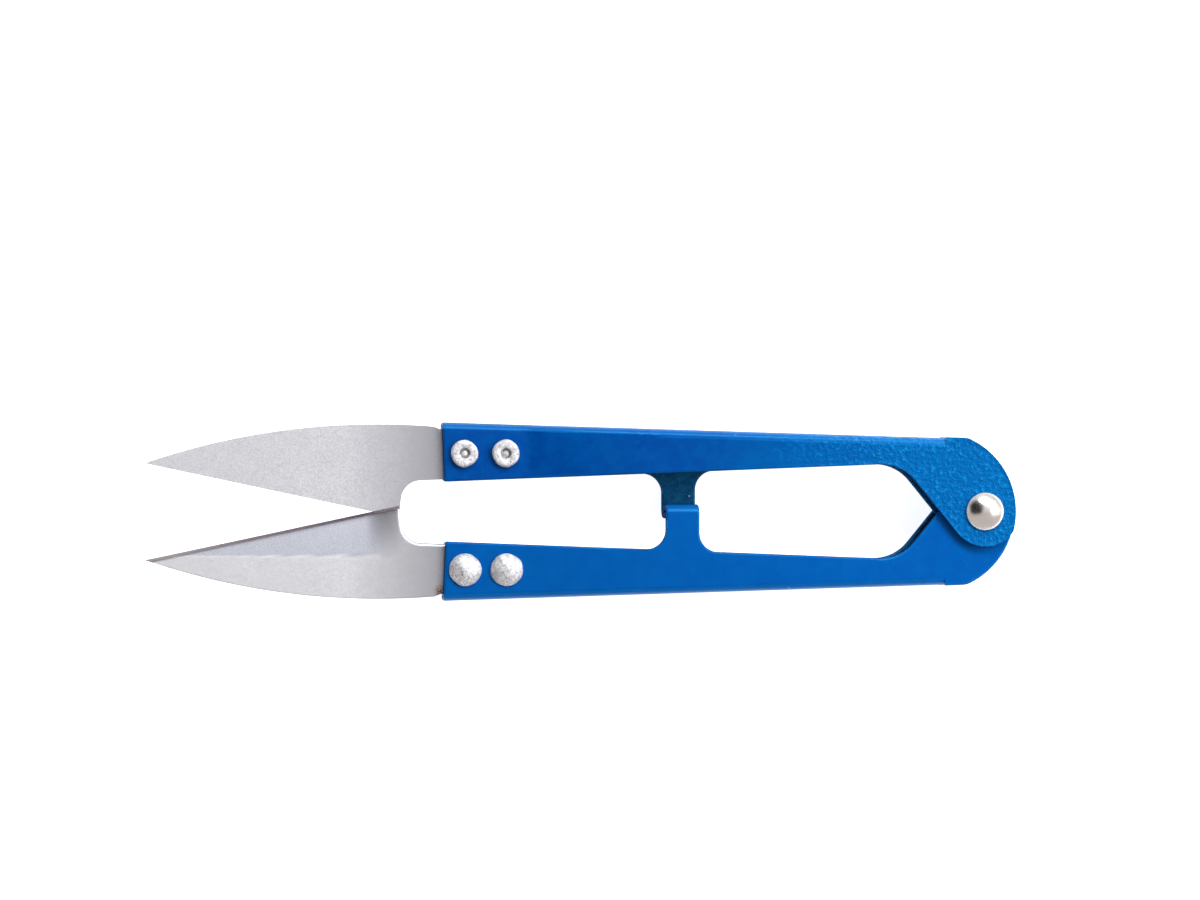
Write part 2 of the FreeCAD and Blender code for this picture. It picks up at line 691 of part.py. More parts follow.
def make_spring(label):
    """Torsion spring: a wire coil round the pivot rivet and two straight legs, which lie
    inside the folded sides. The wire is swept along a helix, so it is built in code."""
    wire = value_of("sizes.wire / 2")
    radius = value_of("sizes.coil_radius")
    reach = value_of("sizes.leg_reach")
    wall = value_of(f"{outer_at('-sizes.leg_reach')} - sizes.sheet - sizes.leg_gap - sizes.wire / 2")
    # A leg leaves the coil at a tangent and ends beside the folded side.
    far = math.hypot(reach, wall)
    slope = math.atan2(wall, reach) - math.asin(radius / far)
    length = math.sqrt(far**2 - radius**2)
    start = math.degrees(slope) - 90
    sweep = 360 * value_of("sizes.coil_turns") - 2 * start
    pitch = value_of(PITCH)
    height = pitch * sweep / 360

    helix = Part.makeHelix(pitch, height, radius)
    circle = Part.Wire([Part.makeCircle(wire, FreeCAD.Vector(radius, 0, 0), FreeCAD.Vector(0, 1, 0))])
    coil = helix.makePipeShell([circle], True, True)
    coil.rotate(FreeCAD.Vector(0, 0, 0), FreeCAD.Vector(0, 0, 1), start)
    coil.translate(FreeCAD.Vector(0, 0, -height / 2))
    pieces = []
    for side in (-1, 1):
        angle = math.radians(-start * side)
        root = FreeCAD.Vector(radius * math.cos(angle), radius * math.sin(angle), side * height / 2)
        ahead = FreeCAD.Vector(-math.cos(slope), side * math.sin(slope), 0)
        pieces.append(Part.makeCylinder(wire, length, root, ahead))
        pieces.append(Part.makeSphere(wire, root))
    spring = doc.addObject("Part::Feature", label)
    spring.Label = label
    spring.Shape = coil.multiFuse(pieces).Solids[0]
    spring.Placement = FreeCAD.Placement(
        FreeCAD.Vector(value_of(PIVOT_X), 0, value_of(REST_HEIGHT)), FreeCAD.Rotation()
    )
    return spring


# ---------------------------------------------------------------- assembly

pieces = []
for half, turned_over in (("lower", False), ("upper", True)):
    pieces.append(make_handle(f"{half}_handle", turned_over))
    pieces.append(make_blade(f"{half}_blade", turned_over))
    for end in ("front", "rear"):
        rivet = make_rivet(f"{half}_{end}_rivet", "rivet", NEAR_FRONT, FAR_FRONT)
        place(rivet, turned_over, f"sizes.rivet_{end}_reach", "sizes.rivet_offset")
        pieces.append(rivet)

pivot_high = f"({DEPTH} + {NESTING}) / 2 + sizes.head_gap"
pivot_rivet = make_rivet("pivot_rivet", "pivot", pivot_high, f"-({pivot_high})")
place(pivot_rivet, False)
pieces.append(pivot_rivet)
pieces.append(make_spring("torsion_spring"))

doc.recompute()
for item in doc.Objects:
    if "Invalid" in item.State or "Error" in item.State:
        raise RuntimeError(f"{item.Label} failed: {item.State}")
for piece in pieces:
    if piece.Shape.isNull() or not piece.Shape.isValid() or len(piece.Shape.Solids) != 1:
        raise RuntimeError(f"{piece.Label} has no sound solid")

os.makedirs("parts", exist_ok=True)
for piece in pieces:
    piece.Shape.exportStep(f"parts/{piece.Label}.step")
    box = piece.Shape.BoundBox
    print(
        f"{piece.Label:18s} volume {piece.Shape.Volume:8.2f} mm3,"
        f" X {box.XMin:7.2f} to {box.XMax:6.2f}, Y {box.YMin:6.2f} to {box.YMax:5.2f},"
        f" Z {box.ZMin:5.2f} to {box.ZMax:5.2f}"
    )
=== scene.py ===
# %% [markdown]
# # Thread snips
# A pair of sprung thread snips: two handles folded from thin sheet and enamelled blue, a
# ground steel blade riveted into each, and one pivot rivet at the rear, with a torsion
# spring round it that holds the blades open.
#
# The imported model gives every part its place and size. This file gives each part the
# shape and finish that a hand would feel: the round edges that enamel leaves, the ground
# face of a blade, the hammer dents in a soft rivet.

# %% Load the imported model
import json
import math

import bmesh
import bpy
import numpy as np
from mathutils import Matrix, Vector


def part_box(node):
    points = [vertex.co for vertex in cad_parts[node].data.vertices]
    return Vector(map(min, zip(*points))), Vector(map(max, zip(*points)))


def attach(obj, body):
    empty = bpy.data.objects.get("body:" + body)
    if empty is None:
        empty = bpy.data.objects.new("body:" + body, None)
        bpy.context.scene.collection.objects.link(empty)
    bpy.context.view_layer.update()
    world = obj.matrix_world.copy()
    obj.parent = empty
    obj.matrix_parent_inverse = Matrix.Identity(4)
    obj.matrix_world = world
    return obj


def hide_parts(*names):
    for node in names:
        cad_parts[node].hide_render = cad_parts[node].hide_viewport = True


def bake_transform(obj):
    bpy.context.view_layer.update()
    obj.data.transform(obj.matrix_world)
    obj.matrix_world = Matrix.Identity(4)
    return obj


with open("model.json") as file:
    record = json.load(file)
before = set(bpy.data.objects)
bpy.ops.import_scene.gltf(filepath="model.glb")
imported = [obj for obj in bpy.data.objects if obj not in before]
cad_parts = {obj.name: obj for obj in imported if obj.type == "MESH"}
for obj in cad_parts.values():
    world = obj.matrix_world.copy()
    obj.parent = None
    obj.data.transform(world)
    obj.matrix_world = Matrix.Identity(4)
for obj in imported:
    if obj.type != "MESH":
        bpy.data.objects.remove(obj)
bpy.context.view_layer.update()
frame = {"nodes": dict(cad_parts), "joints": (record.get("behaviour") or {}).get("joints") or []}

MM = 0.001
WELD = 2e-6
scene = bpy.context.scene
pivot = Vector(frame["joints"][0]["pos_m"])
print("pivot at", [round(value / MM, 2) for value in pivot], "mm")


def measure(piece):
    """Prints how large a piece is and how many faces it has."""
    corners = np.array([vertex.co for vertex in piece.data.vertices]) / MM
    size = (corners.max(0) - corners.min(0)).round(2)
    print(f"{piece.name}: {size[0]} x {size[1]} x {size[2]} mm, {len(piece.data.polygons)} faces")


# %% [markdown]
# ## Small helpers
# A finish and a Geometry Nodes shape are both trees of nodes, so one helper adds a node to
# either: it sets the node's options, then feeds its inputs with a value or a link.

# %% Adding nodes
def add(tree, kind, feeds=None, **options):
    """A new node, with its options set and its inputs fed."""
    node = tree.nodes.new(kind)
    for name, value in options.items():
        setattr(node, name, value)
    for name, value in (feeds or {}).items():
        if isinstance(value, bpy.types.NodeSocket):
            tree.links.new(value, node.inputs[name])
        else:
            node.inputs[name].default_value = value
    return node


def sum_of(tree, operation, first, second):
    """One step of arithmetic between two values."""
    return add(tree, "ShaderNodeMath", {0: first, 1: second}, operation=operation).outputs[0]


# %% Patterns that the finishes share
def start_finish(name):
    """A new material, its shader, and where on the piece a point is."""
    material = bpy.data.materials.new(name)
    material.use_nodes = True
    tree = material.node_tree
    shader = tree.nodes["Principled BSDF"]
    place = add(tree, "ShaderNodeTexCoord").outputs["Object"]
    return material, tree, shader, place


def cloud(tree, place, size, detail=3.0, roughness=0.5):
    """Soft noise from 0 to 1, with patches about so large."""
    feeds = {"Vector": place, "Scale": 1 / size, "Detail": detail, "Roughness": roughness}
    return add(tree, "ShaderNodeTexNoise", feeds).outputs["Fac"]


def step_between(tree, value, low, high, to_low=0.0, to_high=1.0):
    """A value stretched so that low to high covers to_low to to_high."""
    feeds = {"Value": value, "From Min": low, "From Max": high, "To Min": to_low, "To Max": to_high}
    return add(tree, "ShaderNodeMapRange", feeds).outputs["Result"]


def mix_colours(tree, share, first, second):
    """first where share is 0, second where it is 1."""
    return add(tree, "ShaderNodeMix", {0: share, 6: first, 7: second}, data_type="RGBA").outputs[2]


def mark(tree, name):
    """A value that the piece carries on its own mesh."""
    return add(tree, "ShaderNodeAttribute", attribute_name=name).outputs["Fac"]


def relief(tree, shader, height, depth, under=None):
    """Fine relief: height from 0 to 1 stands for a depth in metres."""
    feeds = {"Height": height, "Distance": depth, "Strength": 1.0}
    if under is not None:
        feeds["Normal"] = under
    bump = add(tree, "ShaderNodeBump", feeds).outputs["Normal"]
    tree.links.new(bump, shader.inputs["Normal"])
    return bump


# %% [markdown]
# ## Blue enamel
# The handles are dipped and baked. The blue is painted darker at the front and lighter
# towards the pivot, as painted light, and near the pivot the skin shrinks into orange peel,
# whose paler flecks are painted highlights. On the inside of the fold the enamel is thin and
# patchy, and painted darker still as painted shade. Dust leaves a few pale specks.
#
# The cut walls are painted dark navy, as painted shade. Every rounded edge, where the film
# pools and shines, is painted a paler blue as a painted highlight.
#
# A flat blue would look like plastic, so the colour drifts a little over a centimetre, the
# peel grows with the distance along the handle, and the inside, the walls and the rounded
# edges read marks on the mesh.

# %% The enamel finish
PALE_BLUE = (0.0, 0.12, 0.42, 1)
PEEL_GLINT_BLUE = (0.004, 0.24, 0.6, 1)
EDGE_HIGHLIGHT_BLUE = (0.01, 0.25, 0.62, 1)
PAINTED_LIGHT_FROM = -40 * MM
PEEL_SIZE = 0.52 * MM
SPECK_SPACING = 3.2 * MM
PEEL_DEPTH = 0.1 * MM
PEEL_START = -27 * MM
PEEL_FULL = -12 * MM
FLAT_SHINE = 0.32
EDGE_SHINE = 0.6


def blue_enamel(name, front_blue, rear_blue, peel_share):
    """Baked enamel, painted lighter towards the pivot as painted light, with more or less orange peel near
    the pivot.
    """
    material, tree, shader, place = start_finish(name)
    along = add(tree, "ShaderNodeSeparateXYZ", {"Vector": place}).outputs["X"]
    # Painted light: the blue runs from the darker front colour to the lighter rear colour towards the
    # pivot.
    lighter_to_pivot = step_between(tree, along, pivot.x + PAINTED_LIGHT_FROM, pivot.x)
    drift = step_between(tree, cloud(tree, place, 11 * MM, 2.0), 0.3, 0.7, -0.15, 0.15)
    colour = mix_colours(tree, sum_of(tree, "ADD", lighter_to_pivot, drift), front_blue, rear_blue)
    mottle = step_between(tree, cloud(tree, place, 1.4 * MM, 4.0), 0.35, 0.65)
    colour = mix_colours(tree, sum_of(tree, "MULTIPLY", mottle, 0.16), colour, PALE_BLUE)

    inside = mark(tree, "inside")
    # Inside the fold: thin, patchy enamel, and painted darker as painted shade.
    patch = step_between(tree, cloud(tree, place, 0.55 * MM, 5.0, 0.65), 0.36, 0.66)
    thin_and_shaded = mix_colours(tree, patch, (0.002, 0.036, 0.1, 1), (0.004, 0.1, 0.24, 1))
    colour = mix_colours(tree, inside, colour, thin_and_shaded)
    # Cut walls: painted shade, dark navy.
    wall = mark(tree, "wall")
    colour = mix_colours(tree, sum_of(tree, "MULTIPLY", wall, 0.8), colour, (0.0, 0.016, 0.09, 1))

    spot_feeds = {"Vector": place, "Scale": 1 / SPECK_SPACING, "Randomness": 1.0}
    spots = add(tree, "ShaderNodeTexVoronoi", spot_feeds)
    speck = step_between(tree, spots.outputs["Distance"], 0.028, 0.05, 1.0, 0.0)
    rare = step_between(tree, cloud(tree, place, 5 * MM, 1.0), 0.56, 0.6)
    speck = sum_of(tree, "MULTIPLY", speck, rare)
    colour = mix_colours(tree, sum_of(tree, "MULTIPLY", speck, 0.55), colour, (0.42, 0.62, 0.8, 1))

    rear = step_between(tree, along, pivot.x + PEEL_START, pivot.x + PEEL_FULL, 0.06, 1.0)
    peel = cloud(tree, place, PEEL_SIZE, 3.0, 0.55)
    # Painted highlight: paler flecks on the orange peel near the pivot.
    peel_glint = step_between(tree, peel, 0.55, 0.72, 0.0, 0.75)
    peel_glint = sum_of(tree, "MULTIPLY", sum_of(tree, "MULTIPLY", peel_glint, rear), peel_share)
    colour = mix_colours(tree, peel_glint, colour, PEEL_GLINT_BLUE)
    # Rounded edges: more shine, and a paler blue as a painted highlight.
    pooled_and_highlight = mark(tree, "pooled_and_highlight")
    colour = mix_colours(tree, sum_of(tree, "MULTIPLY", pooled_and_highlight, 0.12), colour, EDGE_HIGHLIGHT_BLUE)
    tree.links.new(colour, shader.inputs["Base Color"])
    peel = sum_of(tree, "MULTIPLY", step_between(tree, peel, 0.3, 0.7), rear)
    waves = relief(tree, shader, cloud(tree, place, 9 * MM, 1.0), 0.05 * MM)
    skin = relief(tree, shader, peel, PEEL_DEPTH * peel_share, waves)
    relief(tree, shader, sum_of(tree, "ADD", speck, cloud(tree, place, 0.25 * MM, 2.0)), 0.004 * MM, skin)

    rough = step_between(tree, cloud(tree, place, 2.5 * MM, 3.0), 0.3, 0.7, 0.3, 0.42)
    rough = sum_of(tree, "ADD", rough, sum_of(tree, "MULTIPLY", inside, 0.15))
    tree.links.new(rough, shader.inputs["Roughness"])
    edge_shine = step_between(tree, pooled_and_highlight, 0.0, 1.0, FLAT_SHINE, EDGE_SHINE)
    shine = sum_of(tree, "SUBTRACT", edge_shine, sum_of(tree, "MULTIPLY", wall, FLAT_SHINE))
    tree.links.new(shine, shader.inputs["Specular IOR Level"])
    shader.inputs["Specular Tint"].default_value = (0.02, 0.45, 1.0, 1)
    shader.inputs["Coat Weight"].default_value = 0.05
    shader.inputs["Coat Roughness"].default_value = 0.16
    return material


# Painted light: each handle runs from a darker front blue to a lighter rear blue, the upper handle's front
# darkest.
smooth_enamel = blue_enamel("blue_enamel_smooth", (0.0, 0.067, 0.288, 1), (0.0, 0.074, 0.331, 1), 0.1)
peeled_enamel = blue_enamel("blue_enamel_peeled", (0.0, 0.042, 0.236, 1), (0.0, 0.098, 0.32, 1), 1.0)
print("enamel with", len(peeled_enamel.node_tree.nodes), "nodes")


# %% [markdown]
# ## Handles
# Each handle is one sheet, folded into a channel, pinched flat over the blade and left
# wide at the ears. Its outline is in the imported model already. What the real one has
# besides is a film of enamel that rounds every stamped edge.
#
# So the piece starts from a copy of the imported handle: the loose triangles are merged,
# flat ones are joined into whole faces, and a Bevel modifier rounds each edge. An edge
# beside a narrow face gets a smaller round, so that the rounds never meet, and the low step
# where the fold ends at the flat ears stays sharp. The normals are hardened, so that flat
# plates stay flat and only the edges catch the light. The ear on the outside also gets a
# low bead along its rim, where the wet enamel gathered: its face is inset three times, and
# the first ring is lifted.

# %% Copying and finishing pieces
def new_piece(name, mesh, material):
    """An object for a mesh, at the origin."""
    piece = bpy.data.objects.new(name, mesh)
    scene.collection.objects.link(piece)
    mesh.materials.clear()
    mesh.materials.append(material)
    return piece


def make_plain(piece):
    """Turns what the modifiers make into a plain mesh, and takes them off."""
    shaped = piece.evaluated_get(bpy.context.evaluated_depsgraph_get())
    mesh = bpy.data.meshes.new_from_object(shaped)
    mesh.name = piece.name
    piece.modifiers.clear()
    piece.data = mesh
    return piece


def merged_copy(node):
    """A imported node's faces, joined up, as editable mesh."""
    shape = bmesh.new()
    shape.from_mesh(frame["nodes"][node].data)
    bmesh.ops.remove_doubles(shape, verts=shape.verts, dist=WELD)
    return shape


# %% The two handles
EDGE_ROUND = 0.28 * MM
FLAT_WITHIN = math.radians(0.6)
EDGE_ANGLE = math.radians(35)
ROUND_SHARE = 0.38
STEP_FACE = 0.6 * MM * MM
BEAD_RINGS = (0.34 * MM, 0.24 * MM, 0.2 * MM)
BEAD_HEIGHT = 0.07 * MM
BEAD_START = 16 * MM
BEAD_FULL = 11 * MM
BEAD_CLEAR = 2.6 * MM
FOLD_END = 4.46 * MM
FOLD_DEPTH = 0.78 * MM
WALL_TILT = 0.95
POOL_TILT = 0.3
BEAD_TILT = 0.22
BEAD_RISE = 0.2 * MM
BEAD_OFF_FOLD = (1.5 * MM, 2.5 * MM)
FACES_ALONG = 0.99
FACES_IN = 1e-6


def room_for_round(edge, steps):
    """How large a round an edge has room for, as a share of the usual one."""
    in_step = any(all(abs(vertex.co.x - step) < WELD for vertex in edge.verts) for step in steps)
    if in_step or edge.calc_face_angle(0) < EDGE_ANGLE:
        return 0.0
    narrowest = min(face.calc_area() / edge.calc_length() for face in edge.link_faces)
    return min(1.0, ROUND_SHARE * narrowest / EDGE_ROUND)


def smooth_step(value, start, end):
    """From 0 at start to 1 at end, without corners."""
    share = min(1.0, max(0.0, (value - start) / (end - start)))
    return share * share * (3 - 2 * share)


def add_bead(shape, side, level):
    """A low bead inside the rim of the ear whose face lies at this level."""
    plate = [
        face
        for face in shape.faces
        if side * face.normal.z > FACES_ALONG and abs(face.calc_center_median().z - level) < WELD
    ]
    rings = []
    for width in BEAD_RINGS:
        before = set(shape.verts)
        bmesh.ops.inset_region(
            shape, faces=plate, thickness=width, use_boundary=True, use_even_offset=False
        )
        rings.append([vertex for vertex in shape.verts if vertex not in before])
    print("bead rings of", [len(ring) for ring in rings], "points on", len(plate), "faces")
    for vertex in rings[0]:
        off_pivot = (vertex.co.xy - pivot.xy).length
        off_fold = abs(side * vertex.co.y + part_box("lower_handle")[0].y)
        lift = smooth_step(vertex.co.x, pivot.x - BEAD_START, pivot.x - BEAD_FULL)
        lift *= smooth_step(off_pivot, BEAD_CLEAR, BEAD_CLEAR + BEAD_RISE)
        if vertex.co.x < pivot.x - FOLD_END:
            lift *= smooth_step(off_fold, *BEAD_OFF_FOLD)
        vertex.co.z += side * BEAD_HEIGHT * lift


def mark_faces(mesh, label, marks):
    """Keeps a number with every face, for the finish to read."""
    layer = mesh.attributes.new(label, "FLOAT", "FACE")
    layer.data.foreach_set("value", marks)


def enamelled_handle(node, name, material, side):
    """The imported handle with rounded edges, a bead on its outside ear and marks for the
    finish. side is the way its outside ear faces."""
    shape = merged_copy(node)
    bmesh.ops.dissolve_limit(shape, angle_limit=FLAT_WITHIN, verts=shape.verts, edges=shape.edges)
    low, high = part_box(node)
    add_bead(shape, side, high.z if side > 0 else low.z)
    shape.verts.index_update()
    shape.edges.index_update()
    mesh = bpy.data.meshes.new(name)
    corners = [vertex.co for vertex in shape.verts]
    edges = [[vertex.index for vertex in edge.verts] for edge in shape.edges]
    faces = [[vertex.index for vertex in face.verts] for face in shape.faces]
    mesh.from_pydata(corners, edges, faces)
    steps = {
        face.calc_center_median().x
        for face in shape.faces
        if face.calc_area() < STEP_FACE and abs(face.normal.x) > FACES_ALONG
    }
    weights = {frozenset(pair): room_for_round(edge, steps) for pair, edge in zip(edges, shape.edges)}
    sharp = {
        frozenset(pair): edge.calc_face_angle(0) > EDGE_ANGLE and weights[frozenset(pair)] == 0
        for pair, edge in zip(edges, shape.edges)
    }
    shape.free()
    layer = mesh.attributes.new("bevel_weight_edge", "FLOAT", "EDGE")
    layer.data.foreach_set("value", [weights[frozenset(edge.vertices)] for edge in mesh.edges])
    mesh.shade_smooth()
    layer = mesh.attributes.new("sharp_edge", "BOOLEAN", "EDGE")
    layer.data.foreach_set("value", [sharp[frozenset(edge.vertices)] for edge in mesh.edges])
    piece = new_piece(name, mesh, material)
    bevel = piece.modifiers.new("round_edges", "BEVEL")
    bevel.width = EDGE_ROUND
    bevel.segments = 3
    bevel.limit_method = "WEIGHT"
    bevel.use_clamp_overlap = False
    bevel.harden_normals = True
    make_plain(piece)
    middle = (low.z + high.z) / 2
    sheet_faces = piece.data.polygons
    tilts = [face.normal.xy.length for face in sheet_faces]
    # Faces turned into the channel, which the finish paints darker as painted shade.
    turned_in = [face.normal.z * (face.center.z - middle) < -FACES_IN for face in sheet_faces]
    mark_faces(piece.data, "inside", [float(is_in) for is_in in turned_in])
    upright = [face for face, tilt in zip(sheet_faces, tilts) if tilt > WALL_TILT]
    folded = max(upright, key=lambda face: face.area)
    depths = [abs((face.center - folded.center).dot(folded.normal)) for face in sheet_faces]
    # Cut walls, which the finish paints dark as painted shade.
    cut = [
        tilt > WALL_TILT and (depth > FOLD_DEPTH or face.center.x > pivot.x - FOLD_END)
        for face, tilt, depth in zip(sheet_faces, tilts, depths)
    ]
    mark_faces(piece.data, "wall", [float(is_cut) for is_cut in cut])
    # Faces on rounded edges: more shine in the finish, and a painted highlight.
    leans = [BEAD_TILT if face.center.x > pivot.x - BEAD_START else POOL_TILT for face in sheet_faces]
    pooled_and_highlight = [float(lean < tilt <= WALL_TILT) for lean, tilt in zip(leans, tilts)]
    mark_faces(piece.data, "pooled_and_highlight", pooled_and_highlight)
    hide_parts(node)
    measure(piece)
    return piece


lower_handle = enamelled_handle("lower_handle", "lower_handle_sheet", smooth_enamel, -1)
upper_handle = enamelled_handle("upper_handle", "upper_handle_sheet", peeled_enamel, 1)
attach(lower_handle, "lower_half")
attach(upper_handle, "upper_half")


# %% [markdown]
# ## Blade steel
# The blades are stamped, tumbled and ground on one side. Tumbling leaves a fine grey
# speckle all over. The ground face is bluer and a little darker than the flat, and the
# honed edge is a thin dark line. A trace of rust sits where the blade meets the handle.

# %% The steel finish
def blade_steel(name, flat_share):
    """Tumbled and ground blade steel. flat_share is how much speckle its flat shows."""
    material, tree, shader, place = start_finish(name)
    speckle = step_between(tree, cloud(tree, place, 0.16 * MM, 3.0, 0.7), 0.3, 0.7)
    blotch = step_between(tree, cloud(tree, place, 5 * MM, 5.0, 0.6), 0.35, 0.65)
    speckled = sum_of(tree, "MULTIPLY", speckle, flat_share)
    flat = mix_colours(tree, speckled, (0.84, 0.845, 0.88, 1), (0.54, 0.56, 0.63, 1))
    ground = mix_colours(tree, speckle, (0.3, 0.315, 0.37, 1), (0.54, 0.555, 0.62, 1))
    colour = mix_colours(tree, mark(tree, "ground"), flat, ground)
    colour = mix_colours(tree, sum_of(tree, "MULTIPLY", blotch, 0.22), colour, (0.6, 0.62, 0.68, 1))
    along = add(tree, "ShaderNodeSeparateXYZ", {"Vector": place}).outputs["X"]
    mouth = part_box("lower_handle")[0].x
    # Darker towards the handle mouth.
    darker_near_handle = step_between(tree, along, mouth - 11 * MM, mouth + 1 * MM, 0.0, 0.85)
    darkened_steel = mix_colours(tree, speckle, (0.19, 0.195, 0.23, 1), (0.4, 0.4, 0.45, 1))
    colour = mix_colours(tree, darker_near_handle, colour, darkened_steel)
    colour = mix_colours(tree, mark(tree, "honed"), colour, (0.1, 0.075, 0.09, 1))
    rust = sum_of(tree, "MULTIPLY", mark(tree, "rust"), step_between(tree, speckle, 0.25, 0.6))
    colour = mix_colours(tree, rust, colour, (0.18, 0.08, 0.035, 1))
    tree.links.new(colour, shader.inputs["Base Color"])
    grain = relief(tree, shader, cloud(tree, place, 0.12 * MM, 2.0), 0.004 * MM)
    relief(tree, shader, cloud(tree, place, 1.2 * MM, 2.0), 0.006 * MM, grain)
    tree.links.new(step_between(tree, speckle, 0.0, 1.0, 0.5, 0.36), shader.inputs["Roughness"])
    shader.inputs["Metallic"].default_value = 1.0
    return material


polished_steel = blade_steel("blade_steel_polished", 0.35)
tumbled_steel = blade_steel("blade_steel_tumbled", 0.7)


# %% [markdown]
# ## Blades
# A blade is a flat plate with one straight cutting edge and one arched back. Its outer
# face is ground to a wedge from a ridge down to the edge, and the rim of the notch behind
# the heel is rounded off so that it doesn't cut a finger.
#
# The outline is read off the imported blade. Between its cutting side and its back the piece
# is a grid, and each point of the grid gets its height from a rule: full thickness, less
# the wedge of the ground face, less the rounding near each rim. The upper blade is the
# same shape turned over.

# %% Reading the outline
def blade_outline(node):
    """The rim of the face that slides on the other blade, in order from the tip."""
    shape = merged_copy(node)
    level = min(vertex.co.z for vertex in shape.verts)
    low = {vertex for vertex in shape.verts if vertex.co.z - level < WELD}

    def on_face(element):
        return all(vertex in low for vertex in element.verts)

    rim = {
        edge
        for edge in shape.edges
        if on_face(edge) and sum(on_face(face) for face in edge.link_faces) == 1
    }
    here = min(low, key=lambda vertex: vertex.co.x)
    path = [here]
    used = set()
    while True:
        ways = [edge for edge in here.link_edges if edge in rim and edge not in used]
        if not ways:
            break
        way = max(ways, key=lambda edge: edge.other_vert(here).co.y)
        used.add(way)
        here = way.other_vert(here)
        path.append(here)
    points = np.array([vertex.co.xy for vertex in path])
    shape.free()
    return points, level


outline, slide_level = blade_outline("lower_blade")
heel = outline[:, 1].argmax()
print("blade outline with", len(outline), "points, heel at", (outline[heel] / MM).round(2))


# %% Spacing points along a line and measuring to it
def spaced(points, count):
    """count points at even distances along a line."""
    steps = np.hypot(*np.diff(points, axis=0).T)
    reach = np.concatenate([[0], np.cumsum(steps)])
    at = np.linspace(0, reach[-1], count)
    return np.stack([np.interp(at, reach, points[:, axis]) for axis in (0, 1)], axis=1)


def distance_to(points, line):
    """How far each point is from a line of straight pieces."""
    nearest = np.full(points.shape[:-1], np.inf)
    for start, end in zip(line[:-1], line[1:]):
        run = end - start
        share = np.clip(((points - start) @ run) / max(run @ run, 1e-18), 0, 1)
        gap = np.linalg.norm(points - (start + share[..., None] * run), axis=-1)
        nearest = np.minimum(nearest, gap)
    return nearest


# %% The grid between cutting side and back
HEEL_COLUMNS = 260
TANG_COLUMNS = 130
RIM_STEPS = np.array([0, 0.03, 0.08, 0.14, 0.2, 0.26, 0.33, 0.4, 0.5]) * MM
MIDDLE_ROWS = 22
rear_corners = np.flatnonzero(outline[:, 0] > outline[:, 0].max() - WELD)
front_side = outline[: heel + 1]
notch_side = outline[heel : rear_corners.min() + 1]
back = outline[rear_corners.max() :][::-1]
if np.hypot(*(back[0] - outline[0])) > WELD:
    back = np.vstack([outline[:1], back])
turn = np.abs(back[:, 0] - (outline[heel, 0] - 0.5 * MM)).argmin()
inner_rail = np.vstack([spaced(front_side, HEEL_COLUMNS), spaced(notch_side, TANG_COLUMNS)[1:]])
outer_rail = np.vstack([spaced(back[: turn + 1], HEEL_COLUMNS), spaced(back[turn:], TANG_COLUMNS)[1:]])
across = outer_rail - inner_rail
width = np.linalg.norm(across, axis=1)
shrink = np.minimum(1, width / (4 * RIM_STEPS[-1]))
near = RIM_STEPS[None, :] * shrink[:, None]
middle = np.linspace(0, 1, MIDDLE_ROWS + 2)[1:-1]
between = near[:, -1:] + middle[None, :] * (width[:, None] - 2 * near[:, -1:])
offsets = np.hstack([near, between, width[:, None] - near[:, ::-1]])
direction = across / np.maximum(width, 1e-12)[:, None]
grid = inner_rail[:, None, :] + direction[:, None, :] * offsets[..., None]
print("blade grid", grid.shape[0], "by", grid.shape[1])

# %% Heights by rule
low_corner, high_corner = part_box("lower_blade")
THICKNESS = high_corner.z - low_corner.z
RIDGE_Y = -5.1 * MM
HEEL_STEEL = 0.3 * MM
RUNOUT_START = pivot.x - 71.0 * MM
RUNOUT_END = pivot.x - 66.6 * MM
EDGE_STEEL = 0.03 * MM
HONED_WIDTH = 0.28 * MM
NOTCH_ROUND = 0.4 * MM
BACK_ROUND = 0.1 * MM
fade = np.clip((RUNOUT_END - grid[..., 0]) / (RUNOUT_END - RUNOUT_START), 0, 1)
fade = fade * fade * (3 - 2 * fade)
slope = (THICKNESS - HEEL_STEEL) / (outline[heel, 1] - RIDGE_Y)
wedge = np.clip(grid[..., 1] - RIDGE_Y, 0, None) * slope * fade
height = THICKNESS - wedge


def rounded(gap, radius):
    """How far a round rim lies below its face."""
    inside = np.clip(radius - gap, 0, radius)
    return radius - np.sqrt(radius**2 - inside**2)


to_edge = distance_to(grid, front_side)
to_notch = distance_to(grid, notch_side)
to_back = distance_to(grid, back)
height = height - rounded(to_notch, NOTCH_ROUND) * np.clip(height / THICKNESS, 0, 1)
height = height - rounded(to_back, BACK_ROUND)
honing = np.clip(to_edge / HONED_WIDTH, 0, 1)
height = EDGE_STEEL + (height - EDGE_STEEL) * honing
print("thinnest and thickest steel", (height.min() / MM).round(3), (height.max() / MM).round(3), "mm")

# %% Marks for the finish
RUST_PLACE = Vector((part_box("lower_handle")[0].x - 0.2 * MM, low_corner.y + 0.85 * MM))
RIDGE_BLUR = 0.15 * MM
HONED_REACH = 1.9
RUST_RADIUS = 0.9 * MM
RUST_STRENGTH = 1.6
ground_mark = np.clip((grid[..., 1] - RIDGE_Y) / RIDGE_BLUR, 0, 1) * fade
honed_mark = np.clip(HONED_REACH - to_edge / HONED_WIDTH, 0, 1)
rust_gap = np.linalg.norm(grid - np.array(RUST_PLACE), axis=-1)
rust_mark = np.clip(RUST_STRENGTH * (1 - rust_gap / RUST_RADIUS), 0, 1)


